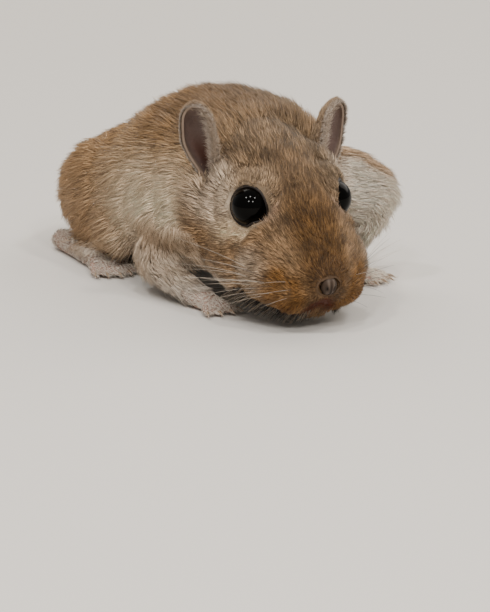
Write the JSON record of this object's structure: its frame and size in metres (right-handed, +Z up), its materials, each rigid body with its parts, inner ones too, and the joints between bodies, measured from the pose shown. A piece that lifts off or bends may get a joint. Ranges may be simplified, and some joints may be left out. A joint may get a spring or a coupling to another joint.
{
  "type": "life-size gerbil model",
  "caption": "Still, life-size model of a Mongolian gerbil in a low crouch, with its head lowered, eyes open and tail lying on the floor behind.",
  "frame": {"origin": "on the floor, under the middle of the model's bounding box", "axes": "-Y the way the animal faces, +Y back along its body and tail, +X its left side, +Z up"},
  "size_m": [0.0926, 0.1588, 0.0365],
  "materials": {
    "coat": "matt fur, brown ticked with black",
    "pale_coat": "matt fur, cream-white",
    "ear_skin": "bare dusky skin with a soft sheen",
    "nose_skin": "moist bare skin",
    "eye": "glossy black"
  },
  "bodies": {
    "root": {"chest": "coat", "ear_left": "ear_skin", "ear_right": "ear_skin", "eye_left": "eye", "eye_right": "eye", "foreleg_left": "pale_coat", "foreleg_right": "pale_coat", "forepaw_left": "pale_coat", "forepaw_right": "pale_coat", "head": "coat", "hind_foot_left": "pale_coat", "hind_foot_right": "pale_coat", "neck": "coat", "nose": "nose_skin", "rump": "coat", "tail_base": "coat", "tail_middle": "coat", "tail_tip": "coat", "thigh_left": "coat", "thigh_right": "coat"}
  },
  "joints": []
}
